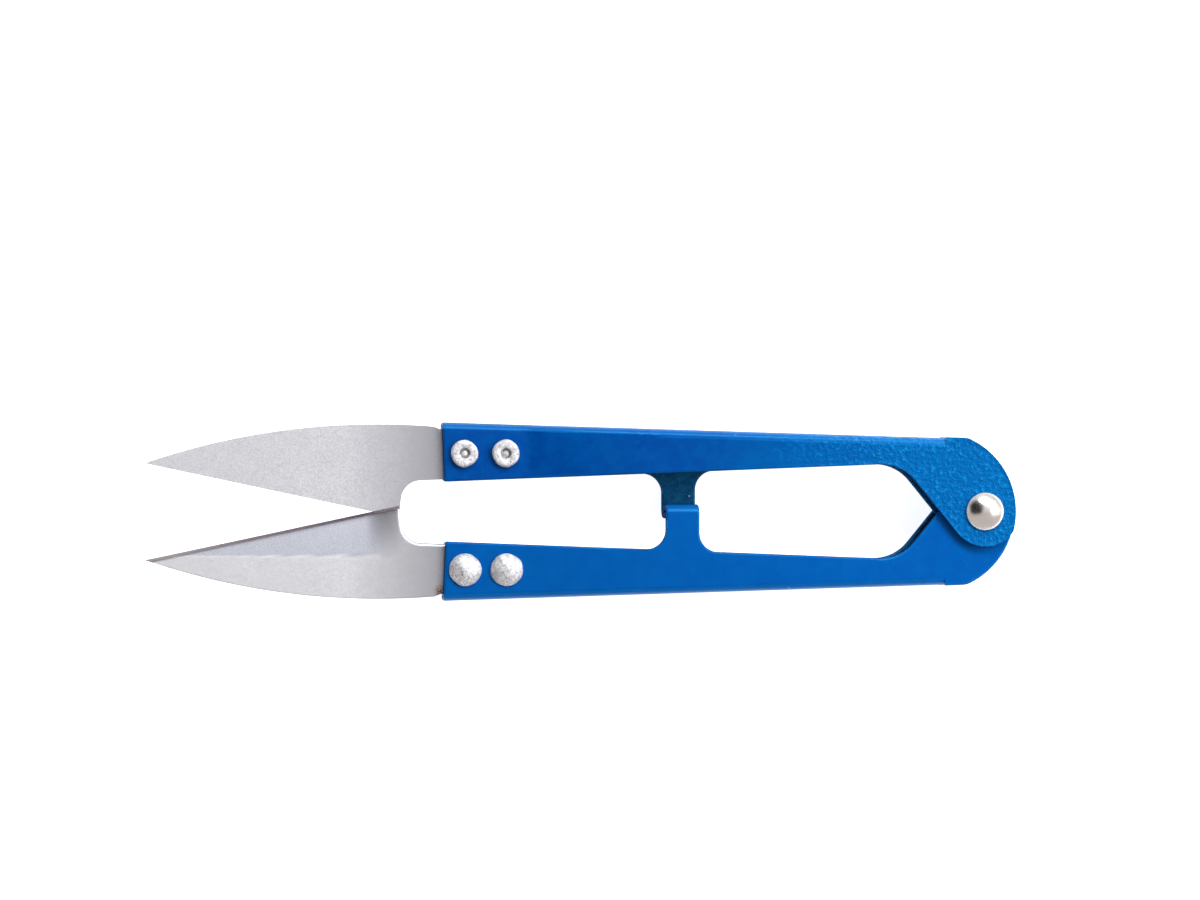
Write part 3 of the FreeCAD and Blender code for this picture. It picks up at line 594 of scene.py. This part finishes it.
# %% Building a blade
def build_blade(name, node, turned, material):
    """The blade as a closed mesh: the ruled top, the flat underside and the rim."""
    columns, rows = grid.shape[:2]
    top = np.dstack([grid, slide_level + height]).reshape(-1, 3)
    flat = np.full(columns, slide_level)
    under_inner = np.column_stack([inner_rail, flat])
    under_outer = np.column_stack([outer_rail, flat])
    points = np.vstack([top, under_inner, under_outer])
    if turned:
        points = points * [1, -1, -1] + [0, 0, 2 * pivot.z]
    inner_start = columns * rows
    outer_start = inner_start + columns
    faces = []
    for column in range(columns - 1):
        corner = column * rows
        faces += [
            (corner + row, corner + row + 1, corner + rows + row + 1, corner + rows + row)
            for row in range(rows - 1)
        ]
        inner, outer = inner_start + column, outer_start + column
        faces.append((inner, corner, corner + rows, inner + 1))
        faces.append((outer, outer + 1, corner + 2 * rows - 1, corner + rows - 1))
        faces.append((outer, inner, inner + 1, outer + 1))
    last = (columns - 1) * rows
    faces.append((inner_start + columns - 1, *range(last, last + rows), outer_start + columns - 1))
    mesh = bpy.data.meshes.new(name)
    mesh.from_pydata(points, [], faces)
    for label, values in (("ground", ground_mark), ("honed", honed_mark), ("rust", rust_mark)):
        layer = mesh.attributes.new(label, "FLOAT", "POINT")
        values = np.zeros_like(values) if label == "rust" and turned else values
        under = np.zeros(2 * columns)
        layer.data.foreach_set("value", np.concatenate([values.ravel(), under]).astype(np.float32))
    shape = bmesh.new()
    shape.from_mesh(mesh)
    bmesh.ops.remove_doubles(shape, verts=shape.verts, dist=WELD)
    bmesh.ops.recalc_face_normals(shape, faces=shape.faces)
    shape.to_mesh(mesh)
    open_edges = sum(not edge.is_manifold for edge in shape.edges)
    shape.free()
    mesh.shade_smooth()
    mesh.set_sharp_from_angle(angle=math.radians(28))
    piece = new_piece(name, mesh, material)
    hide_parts(node)
    measure(piece)
    print("open edges", open_edges)
    return piece


lower_blade = build_blade("lower_blade_steel", "lower_blade", False, polished_steel)
upper_blade = build_blade("upper_blade_steel", "upper_blade", True, tumbled_steel)
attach(lower_blade, "lower_half")
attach(upper_blade, "upper_half")


# %% [markdown]
# ## Rivet metal
# The blade rivets are soft aluminium, so the press leaves facets, scuffs and grey grime in
# the hollows. The pivot rivet is nickel plated and polished, and shows the room.

# %% Two rivet finishes
def soft_aluminium(name):
    """Aluminium that a press has scuffed."""
    material, tree, shader, place = start_finish(name)
    scuff = step_between(tree, cloud(tree, place, 0.3 * MM, 5.0, 0.7), 0.36, 0.64)
    grime = step_between(tree, cloud(tree, place, 0.4 * MM, 4.0, 0.65), 0.6, 0.7)
    along = mark(tree, "along")
    ring = sum_of(tree, "SUBTRACT", along, 0.075)
    ring = step_between(tree, sum_of(tree, "ABSOLUTE", ring, 0.0), 0.015, 0.05, 1.0, 0.0)
    patchy = step_between(tree, cloud(tree, place, 0.5 * MM, 3.0), 0.3, 0.5)
    grime = sum_of(tree, "MAXIMUM", grime, sum_of(tree, "MULTIPLY", ring, patchy))
    colour = mix_colours(tree, scuff, (0.42, 0.425, 0.45, 1), (0.82, 0.82, 0.85, 1))
    colour = mix_colours(tree, sum_of(tree, "MULTIPLY", grime, 0.8), colour, (0.1, 0.095, 0.1, 1))
    tree.links.new(colour, shader.inputs["Base Color"])
    dents = add(tree, "ShaderNodeTexVoronoi", {"Vector": place, "Scale": 1 / (0.6 * MM)})
    facets = relief(tree, shader, dents.outputs["Distance"], 0.03 * MM)
    relief(tree, shader, cloud(tree, place, 0.15 * MM, 4.0, 0.6), 0.02 * MM, facets)
    tree.links.new(step_between(tree, scuff, 0.0, 1.0, 0.74, 0.6), shader.inputs["Roughness"])
    shader.inputs["Metallic"].default_value = 1.0
    return material


def bright_nickel(name):
    """Polished nickel plate with a few fine scratches."""
    material, tree, shader, place = start_finish(name)
    stretch = add(tree, "ShaderNodeMapping", {"Vector": place, "Rotation": (0, 0, 0.5), "Scale": (1, 9, 1)})
    scratch = cloud(tree, stretch.outputs["Vector"], 0.8 * MM, 4.0, 0.7)
    haze = cloud(tree, place, 1.1 * MM, 3.0)
    colour = mix_colours(tree, haze, (0.78, 0.75, 0.72, 1), (0.88, 0.86, 0.84, 1))
    tree.links.new(colour, shader.inputs["Base Color"])
    relief(tree, shader, scratch, 0.0015 * MM)
    tree.links.new(step_between(tree, haze, 0.35, 0.7, 0.2, 0.28), shader.inputs["Roughness"])
    shader.inputs["Metallic"].default_value = 1.0
    return material


aluminium = soft_aluminium("rivet_aluminium_scuffed")
nickel = bright_nickel("pivot_nickel_polished")


# %% [markdown]
# ## Rivets
# Every rivet here is a turned shape: a profile swung round an axis, with a domed head at
# one end and a rolled tail with a hollow at the other. The same shape stands at several
# places, so Geometry Nodes make it: a flat grid is wrapped round the axis by two curves,
# one for the radius and one for the height, set at each place on a short line of points,
# turned by a seeded random angle, and then dented where it stands, so no two are alike.

# %% A node tree with named inputs
def new_tree(name, inputs):
    """An empty Geometry Nodes tree and its named inputs."""
    tree = bpy.data.node_groups.new(name, "GeometryNodeTree")
    tree.interface.new_socket("Geometry", in_out="OUTPUT", socket_type="NodeSocketGeometry")
    tree.interface.new_socket("Geometry", in_out="INPUT", socket_type="NodeSocketGeometry")
    for label, kind in inputs:
        tree.interface.new_socket(label, in_out="INPUT", socket_type=f"NodeSocket{kind}")
    return tree, add(tree, "NodeGroupInput").outputs


def made_by(tree, name, values, material):
    """A plain mesh piece from a tree, with these values for its named inputs."""
    piece = new_piece(name, bpy.data.meshes.new(name), material)
    modifier = piece.modifiers.new("shape", "NODES")
    modifier.node_group = tree
    for socket in tree.interface.items_tree:
        if socket.in_out == "INPUT" and socket.name in values:
            modifier[socket.identifier] = values[socket.name]
    return make_plain(piece)


# %% Wrapping a grid round an axis
def profile_curve(tree, share, values):
    """A curve node that follows the profile's values, as a share of their range."""
    node = add(tree, "ShaderNodeFloatCurve", {"Value": share})
    low, span = min(values), max(values) - min(values)
    points = node.mapping.curves[0].points
    at = np.linspace(0, 1, len(values))
    for index, value in enumerate(values):
        here = (at[index], (value - low) / span)
        if index == 0:
            point = points[0]
            point.location = here
        elif index == len(values) - 1:
            point = points[len(points) - 1]
            point.location = here
        else:
            point = points.new(*here)
        point.handle_type = "VECTOR"
    node.mapping.update()
    stretched = sum_of(tree, "MULTIPLY", node.outputs["Value"], span)
    return sum_of(tree, "ADD", stretched, low)


def turned_shape(tree, profile, around):
    """The profile's points, (radius, height) from tail to head, swung round Z."""
    sizes = {"Size X": 1.0, "Size Y": 1.0, "Vertices X": around + 1, "Vertices Y": len(profile)}
    sheet = add(tree, "GeometryNodeMeshGrid", sizes).outputs["Mesh"]
    place = add(tree, "ShaderNodeSeparateXYZ", {0: add(tree, "GeometryNodeInputPosition").outputs[0]})
    share = sum_of(tree, "ADD", place.outputs["Y"], 0.5)
    angle = sum_of(tree, "MULTIPLY", place.outputs["X"], math.tau)
    radius = profile_curve(tree, share, [point[0] for point in profile])
    level = profile_curve(tree, share, [point[1] for point in profile])
    x = sum_of(tree, "MULTIPLY", radius, sum_of(tree, "COSINE", angle, 0.0))
    y = sum_of(tree, "MULTIPLY", radius, sum_of(tree, "SINE", angle, 0.0))
    wrapped = add(tree, "ShaderNodeCombineXYZ", {"X": x, "Y": y, "Z": level}).outputs[0]
    mark_feeds = {"Geometry": sheet, "Name": "along", "Value": share}
    marked = add(tree, "GeometryNodeStoreNamedAttribute", mark_feeds)
    moved = add(tree, "GeometryNodeSetPosition", {"Geometry": marked.outputs[0], "Position": wrapped})
    closed = add(tree, "GeometryNodeMergeByDistance", {"Geometry": moved.outputs[0], "Distance": WELD})
    return closed.outputs[0]


# %% The rivet tree
def rivet_tree(name, profile, around):
    """Rivets on a line of points, each turned and dented in its own way."""
    inputs = [
        ("First place", "Vector"),
        ("Last place", "Vector"),
        ("Count", "Int"),
        ("Turned over", "Float"),
        ("Dent depth", "Float"),
        ("Dent size", "Float"),
        ("Wobble", "Float"),
        ("Seed", "Int"),
        ("Metal", "Material"),
    ]
    tree, given = new_tree(name, inputs)
    line_feeds = {
        "Count": given["Count"],
        "Start Location": given["First place"],
        "Offset": given["Last place"],
    }
    line = add(tree, "GeometryNodeMeshLine", line_feeds, mode="END_POINTS")
    spin = add(tree, "FunctionNodeRandomValue", {"Seed": given["Seed"]}, data_type="FLOAT")
    spin.inputs[3].default_value = math.tau
    tilt = add(tree, "ShaderNodeCombineXYZ", {"X": given["Turned over"], "Z": spin.outputs[1]})
    shape = turned_shape(tree, profile, around)
    feeds = {"Points": line.outputs[0], "Instance": shape, "Rotation": tilt.outputs[0]}
    standing = add(tree, "GeometryNodeInstanceOnPoints", feeds)
    real = add(tree, "GeometryNodeRealizeInstances", {"Geometry": standing.outputs[0]}).outputs[0]

    size = sum_of(tree, "DIVIDE", 1.0, given["Dent size"])
    cells = add(tree, "ShaderNodeTexVoronoi", {"Scale": size}, feature="SMOOTH_F1").outputs["Distance"]
    dents = sum_of(tree, "MULTIPLY", sum_of(tree, "SUBTRACT", cells, 0.6), given["Dent depth"])
    wave_feeds = {"Scale": sum_of(tree, "MULTIPLY", size, 0.45), "Detail": 1.0}
    waves = add(tree, "ShaderNodeTexNoise", wave_feeds)
    uneven = sum_of(tree, "SUBTRACT", waves.outputs["Fac"], 0.55)
    push = sum_of(tree, "ADD", dents, sum_of(tree, "MULTIPLY", uneven, given["Wobble"]))
    normal = add(tree, "GeometryNodeInputNormal").outputs[0]
    offset = add(tree, "ShaderNodeVectorMath", {0: normal, "Scale": push}, operation="SCALE")
    dented = add(tree, "GeometryNodeSetPosition", {"Geometry": real, "Offset": offset.outputs[0]})
    smooth = add(tree, "GeometryNodeSetShadeSmooth", {"Geometry": dented.outputs[0]})
    coat_feeds = {"Geometry": smooth.outputs[0], "Material": given["Metal"]}
    coated = add(tree, "GeometryNodeSetMaterial", coat_feeds)
    add(tree, "NodeGroupOutput", {"Geometry": coated.outputs[0]})
    return tree


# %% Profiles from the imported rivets
def dome(radius, base, rise, steps):
    """Points of a low dome, from its rim up to its crown."""
    crown = rise * 5 / 6
    arc = (radius**2 + crown**2) / (2 * crown)
    widest = math.asin(radius / arc)
    angles = np.linspace(widest, 0, steps)
    return [(arc * math.sin(a), base + rise - arc * (1 - math.cos(a))) for a in angles]


def rivet_profile(shank, grip_low, grip_high, head, rise, tail, tail_rise, hollow):
    """Radius and height along a rivet, from the hollow in its tail to its crown."""
    end = grip_low - tail_rise
    roll = tail_rise / 2
    points = [(0, end + 0.5 * roll), (hollow * 0.35, end + 0.45 * roll), (hollow * 0.6, end + 0.7 * roll)]
    points += [(hollow * 0.85, end + 0.45 * roll), (hollow, end + 0.12 * roll), (hollow * 1.15, end)]
    rim = tail - roll
    points += [(rim * 0.5 + hollow * 0.6, end + 0.03 * roll)]
    for angle in np.linspace(-90, 60, 9):
        turn = math.radians(angle)
        points.append((rim + roll * math.cos(turn), end + roll * (1 + math.sin(turn))))
    points += [(tail * 0.88, grip_low), (shank, grip_low), (shank, (grip_low + grip_high) / 2)]
    points += [(shank, grip_high), (head * 0.9, grip_high), (head * 0.985, grip_high + 0.02 * rise)]
    points += [(head, grip_high + 0.08 * rise)]
    return points + dome(head, grip_high, rise, 14)


front_low, front_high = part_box("lower_front_rivet")
rear_low, rear_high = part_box("lower_rear_rivet")
GRIP_LOW = -0.82 * MM
GRIP_HIGH = 1.92 * MM
blade_rivet = rivet_profile(
    shank=1.1 * MM,
    grip_low=GRIP_LOW,
    grip_high=GRIP_HIGH,
    head=1.9 * MM,
    rise=front_high.z - pivot.z - GRIP_HIGH,
    tail=1.6 * MM,
    tail_rise=pivot.z + GRIP_LOW - front_low.z,
    hollow=0.6 * MM,
)
print("blade rivet profile with", len(blade_rivet), "points")

# %% Blade rivets
ROUND_STEPS = 72
blade_rivet_tree = rivet_tree("blade_rivets", blade_rivet, ROUND_STEPS)
front_place = (front_low + front_high) / 2
rear_place = (rear_low + rear_high) / 2
for half, turned_over in (("lower", 0.0), ("upper", math.pi)):
    side = -1 if turned_over else 1
    values = {
        "First place": (front_place.x, side * front_place.y, pivot.z),
        "Last place": (rear_place.x, side * rear_place.y, pivot.z),
        "Count": 2,
        "Turned over": turned_over,
        "Dent depth": 0.05 * MM,
        "Dent size": 0.75 * MM,
        "Wobble": 0.22 * MM,
        "Seed": 3,
        "Metal": aluminium,
    }
    rivets = made_by(blade_rivet_tree, f"{half}_blade_rivets", values, aluminium)
    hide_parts(f"{half}_front_rivet", f"{half}_rear_rivet")
    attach(rivets, f"{half}_half")
    measure(rivets)

# %% Pivot rivet
pin_low, pin_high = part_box("pivot_rivet")
PIN_GRIP = 3.27 * MM
PIN_STEPS = 96
pin_profile = rivet_profile(
    shank=1.3 * MM,
    grip_low=-PIN_GRIP,
    grip_high=PIN_GRIP,
    head=2.22 * MM,
    rise=pin_high.z - pivot.z - PIN_GRIP,
    tail=1.9 * MM,
    tail_rise=pivot.z - PIN_GRIP - pin_low.z,
    hollow=0.75 * MM,
)
pin_tree = rivet_tree("pivot_rivets", pin_profile, PIN_STEPS)
pin_values = {
    "First place": tuple(pivot),
    "Last place": tuple(pivot),
    "Count": 1,
    "Turned over": 0.0,
    "Dent depth": 0.0,
    "Dent size": 2.0 * MM,
    "Wobble": 0.0,
    "Seed": 5,
    "Metal": nickel,
}
pin = made_by(pin_tree, "pivot_rivet_turned", pin_values, nickel)
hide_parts("pivot_rivet")
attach(pin, "lower_half")
measure(pin)


# %% [markdown]
# ## Torsion spring
# The spring is one length of hard wire: two and a bit turns round the pivot rivet, and two
# straight legs that press on the folded sides. It lies between the ears, so it shows only
# from the sides.
#
# A path and a round section are all that it is, which suits Geometry Nodes: a spiral and
# two straight lines are joined into one path, and a circle is carried along it.

# %% The wire finish
def spring_steel(name):
    """Hard drawn wire, dark from its heat treatment."""
    material, tree, shader, place = start_finish(name)
    tone = step_between(tree, cloud(tree, place, 1.5 * MM, 4.0), 0.3, 0.7)
    colour = mix_colours(tree, tone, (0.34, 0.34, 0.36, 1), (0.55, 0.55, 0.56, 1))
    tree.links.new(colour, shader.inputs["Base Color"])
    relief(tree, shader, cloud(tree, place, 0.1 * MM, 3.0), 0.003 * MM)
    tree.links.new(step_between(tree, tone, 0, 1, 0.4, 0.28), shader.inputs["Roughness"])
    shader.inputs["Metallic"].default_value = 1.0
    return material


wire_steel = spring_steel("spring_wire_drawn")

# %% Where the wire runs
WIRE_RADIUS = 0.4 * MM
COIL_RADIUS = 2.25 * MM
COIL_PITCH = 0.9 * MM
COIL_TURNS = 2
spring_low, spring_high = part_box("torsion_spring")
leg_reach = pivot.x - spring_low.x - WIRE_RADIUS * 0.36
leg_side = spring_high.y - WIRE_RADIUS * 0.93
far = math.hypot(leg_reach, leg_side)
leg_slope = math.atan2(leg_side, leg_reach) - math.asin(COIL_RADIUS / far)
leg_length = math.sqrt(far**2 - COIL_RADIUS**2)
coil_start = leg_slope - math.pi / 2
coil_sweep = COIL_TURNS * math.tau - 2 * coil_start
coil_height = COIL_PITCH * coil_sweep / math.tau
leg_points = {}
for side, label in ((-1, "Lower leg"), (1, "Upper leg")):
    angle = -coil_start * side
    root_x, root_y = COIL_RADIUS * math.cos(angle), COIL_RADIUS * math.sin(angle)
    root = pivot + Vector((root_x, root_y, side * coil_height / 2))
    leg_points[f"{label} root"] = tuple(root)
    leg_points[f"{label} end"] = tuple(
        root + leg_length * Vector((-math.cos(leg_slope), side * math.sin(leg_slope), 0))
    )
print("leg length", round(leg_length / MM, 2), "mm at", round(math.degrees(leg_slope), 1), "degrees")

# %% The spring tree
spring_inputs = [
    ("Turns", "Float"),
    ("Coil radius", "Float"),
    ("Coil height", "Float"),
    ("Coil turn", "Vector"),
    ("Coil place", "Vector"),
    ("Wire radius", "Float"),
    *((label, "Vector") for label in leg_points),
    ("Metal", "Material"),
]
spring_tree, given = new_tree("torsion_spring", spring_inputs)
coil_feeds = {
    "Resolution": 48,
    "Rotations": given["Turns"],
    "Start Radius": given["Coil radius"],
    "End Radius": given["Coil radius"],
    "Height": given["Coil height"],
}
coil = add(spring_tree, "GeometryNodeCurveSpiral", coil_feeds).outputs[0]
place_feeds = {"Geometry": coil, "Translation": given["Coil place"], "Rotation": given["Coil turn"]}
coil = add(spring_tree, "GeometryNodeTransform", place_feeds).outputs[0]
path = add(spring_tree, "GeometryNodeJoinGeometry")
coil_lines = add(spring_tree, "GeometryNodeCurveToMesh", {"Curve": coil}).outputs[0]
spring_tree.links.new(coil_lines, path.inputs[0])
for label in ("Lower leg", "Upper leg"):
    leg_feeds = {
        "Count": 12,
        "Start Location": given[f"{label} root"],
        "Offset": given[f"{label} end"],
    }
    leg = add(spring_tree, "GeometryNodeMeshLine", leg_feeds, mode="END_POINTS")
    spring_tree.links.new(leg.outputs[0], path.inputs[0])
join_feeds = {"Geometry": path.outputs[0], "Distance": 5 * WELD}
joined = add(spring_tree, "GeometryNodeMergeByDistance", join_feeds)
line = add(spring_tree, "GeometryNodeMeshToCurve", {"Mesh": joined.outputs[0]})
section_feeds = {"Resolution": 20, "Radius": given["Wire radius"]}
section = add(spring_tree, "GeometryNodeCurvePrimitiveCircle", section_feeds)
wire_feeds = {"Curve": line.outputs[0], "Profile Curve": section.outputs[0], "Fill Caps": True}
wire = add(spring_tree, "GeometryNodeCurveToMesh", wire_feeds)
real = add(spring_tree, "GeometryNodeRealizeInstances", {"Geometry": wire.outputs[0]})
coat_feeds = {"Geometry": real.outputs[0], "Material": given["Metal"]}
coated = add(spring_tree, "GeometryNodeSetMaterial", coat_feeds)
add(spring_tree, "NodeGroupOutput", {"Geometry": coated.outputs[0]})

# %% The spring
spring_values = {
    "Turns": coil_sweep / math.tau,
    "Coil radius": COIL_RADIUS,
    "Coil height": coil_height,
    "Coil turn": (0.0, 0.0, coil_start),
    "Coil place": (pivot.x, pivot.y, pivot.z - coil_height / 2),
    "Wire radius": WIRE_RADIUS,
    "Metal": wire_steel,
    **leg_points,
}
spring = made_by(spring_tree, "torsion_spring_wire", spring_values, wire_steel)
spring.data.shade_smooth()
spring.data.set_sharp_from_angle(angle=math.radians(50))
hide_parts("torsion_spring")
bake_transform(spring)
measure(spring)


# %% [markdown]
# ## Floor, light and camera
# A white card under a broad soft light, brightest from the upper right. The card glows a
# little, so that no shadow on it goes grey. The room is white on one side and slightly
# warmer on the other, with one dark doorway for the polished pivot rivet to mirror. The
# camera looks down from a little to the left, so that the far plates show past the near
# ones, with a lens long enough to keep the outline true.

# %% The floor
FLOOR_HALF = 1.2
CARD_GLOW = 0.85


def pale_floor(name):
    """Matt white card, very slightly uneven, that glows a little."""
    material, tree, shader, place = start_finish(name)
    tone = cloud(tree, place, 60 * MM, 2.0)
    card = mix_colours(tree, tone, (0.9, 0.9, 0.9, 1), (0.93, 0.93, 0.93, 1))
    tree.links.new(card, shader.inputs["Base Color"])
    shader.inputs["Roughness"].default_value = 0.9
    shader.inputs["Specular IOR Level"].default_value = 0.1
    shader.inputs["Emission Color"].default_value = (1, 1, 1, 1)
    shader.inputs["Emission Strength"].default_value = CARD_GLOW
    return material


floor_shape = bmesh.new()
bmesh.ops.create_grid(floor_shape, x_segments=8, y_segments=8, size=FLOOR_HALF)
floor_mesh = bpy.data.meshes.new("floor")
floor_shape.to_mesh(floor_mesh)
floor_shape.free()
floor = new_piece("floor", floor_mesh, pale_floor("floor_card"))

# %% The light
DOORWAY = Vector((-0.6, 0.32, 0.73)).normalized()
DOORWAY_EDGE = (0.79, 0.89)
ROOM_STRENGTH = 0.7
world = bpy.data.worlds.new("soft_room")
scene.world = world
world.use_nodes = True
room = world.node_tree
look = add(room, "ShaderNodeTexCoord").outputs["Generated"]
towards = add(room, "ShaderNodeVectorMath", {0: look, 1: tuple(DOORWAY)}, operation="DOT_PRODUCT")
ragged = step_between(room, cloud(room, look, 0.22, 3.0, 0.6), 0.3, 0.7, -0.05, 0.05)
doorway = sum_of(room, "ADD", towards.outputs["Value"], ragged)
dark = step_between(room, doorway, *DOORWAY_EDGE)
north = add(room, "ShaderNodeSeparateXYZ", {"Vector": look}).outputs["Y"]
north_share = step_between(room, north, -0.08, 0.05)
pale = mix_colours(room, north_share, (0.83, 0.76, 0.73, 1), (1.04, 1.04, 1.04, 1))
walls = mix_colours(room, dark, pale, (0.02, 0.012, 0.012, 1))
room.links.new(walls, room.nodes["Background"].inputs["Color"])
room.nodes["Background"].inputs["Strength"].default_value = ROOM_STRENGTH


def soft_light(name, place, width, depth, power):
    """An oblong soft box that faces the snips."""
    lamp = bpy.data.lights.new(name, "AREA")
    lamp.shape = "RECTANGLE"
    lamp.size = width
    lamp.size_y = depth
    lamp.energy = power
    holder = bpy.data.objects.new(name, lamp)
    scene.collection.objects.link(holder)
    holder.location = place
    holder.rotation_euler = (Vector((0, 0, 0)) - Vector(place)).to_track_quat("-Z", "Y").to_euler()


soft_light("key_light", place=(0.2, 0.42, 0.44), width=0.8, depth=0.2, power=5.0)
soft_light("side_light", place=(0.5, 0.05, 0.4), width=0.25, depth=0.25, power=2.0)

# %% The camera
VIEW_WIDTH = 137.35 * MM
VIEW_DISTANCE = 1.3
VIEW_LEAN = math.radians(7.0)
VIEW_CENTRE = Vector((2.3 * MM, 7.03 * MM, pivot.z))
SENSOR = 36.0
lens = bpy.data.cameras.new("camera")
lens.sensor_width = SENSOR
lens.lens = SENSOR * VIEW_DISTANCE / VIEW_WIDTH
lens.clip_start = 0.01
camera = bpy.data.objects.new("camera", lens)
scene.collection.objects.link(camera)
camera.location = VIEW_CENTRE + VIEW_DISTANCE * Vector((-math.sin(VIEW_LEAN), 0, math.cos(VIEW_LEAN)))
camera.rotation_euler = (0, -VIEW_LEAN, 0)
scene.camera = camera
scene.view_settings.view_transform = "Standard"
print("lens", round(lens.lens, 1), "mm")
